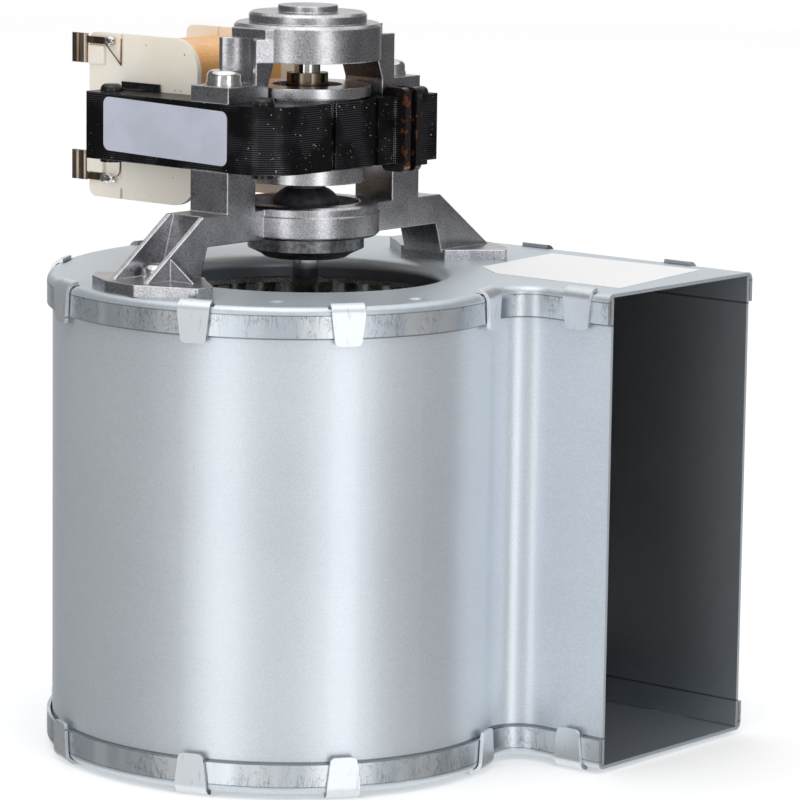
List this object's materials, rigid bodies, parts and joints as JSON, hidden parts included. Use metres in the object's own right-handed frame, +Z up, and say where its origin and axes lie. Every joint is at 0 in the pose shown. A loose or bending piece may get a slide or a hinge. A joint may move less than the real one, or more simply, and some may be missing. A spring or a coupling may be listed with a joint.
{
  "type": "centrifugal blower",
  "caption": "Small scroll blower of galvanised sheet: drum wheel on a shaded pole motor, air in along the shaft at both sides and out through one rectangular mouth.",
  "frame": {"origin": "on the shaft axis, in the outer face of the lower side plate", "axes": "+Z up the shaft towards the motor, +X the way the air leaves the mouth, +Y towards the outer wall of the mouth"},
  "size_m": [0.1371, 0.1364, 0.1729],
  "materials": {
    "galvanised_sheet": "galvanised sheet, satin",
    "cast_aluminium": "as cast, fine grain",
    "zinc_screw": "bright zinc",
    "dark_steel": "blackened, satin",
    "sintered_bronze": "sintered, oil filled",
    "spring_steel": "spring steel",
    "varnished_lamination": "black varnish over sheet edges",
    "copper": "varnished copper",
    "natural_nylon": "natural nylon",
    "taped_winding": "copper winding under orange tape",
    "tinned_brass": "tinned",
    "ground_steel": "ground",
    "rotor_lamination": "turned lamination edges",
    "wheel_sheet": "galvanised sheet, satin"
  },
  "bodies": {
    "housing": {"scroll_wrap": "galvanised_sheet", "top_side_plate": "galvanised_sheet", "bottom_side_plate": "galvanised_sheet", "lower_bracket": "cast_aluminium", "upper_bracket": "cast_aluminium", "foot_screws": "zinc_screw", "stack_screws": "zinc_screw", "stack_washers": "zinc_screw", "bearing_cup": "dark_steel", "lower_bearing": "sintered_bronze", "upper_bearing": "sintered_bronze", "lower_retainer": "spring_steel", "upper_retainer": "spring_steel", "stator_stack": "varnished_lamination", "core_bar": "varnished_lamination", "stack_rivets": "dark_steel", "shading_rings": "copper", "bobbin": "natural_nylon", "winding": "taped_winding", "terminal_upper": "tinned_brass", "terminal_lower": "tinned_brass"},
    "rotor": {"shaft": "ground_steel", "rotor_core": "rotor_lamination", "rotor_end_rings": "cast_aluminium", "rotor_spacer": "dark_steel", "oil_slinger": "dark_steel", "wheel_hub": "ground_steel", "set_screw": "dark_steel", "wheel_disc": "wheel_sheet", "blades_upper": "wheel_sheet", "blades_lower": "wheel_sheet", "wheel_end_rings": "wheel_sheet"}
  },
  "joints": [
    {"name": "rotor_spin", "type": "hinge", "parent": "housing", "child": "rotor", "pos_m": [0, 0, 0.055], "axis": [0, 0, -1], "continuous": true}
  ]
}
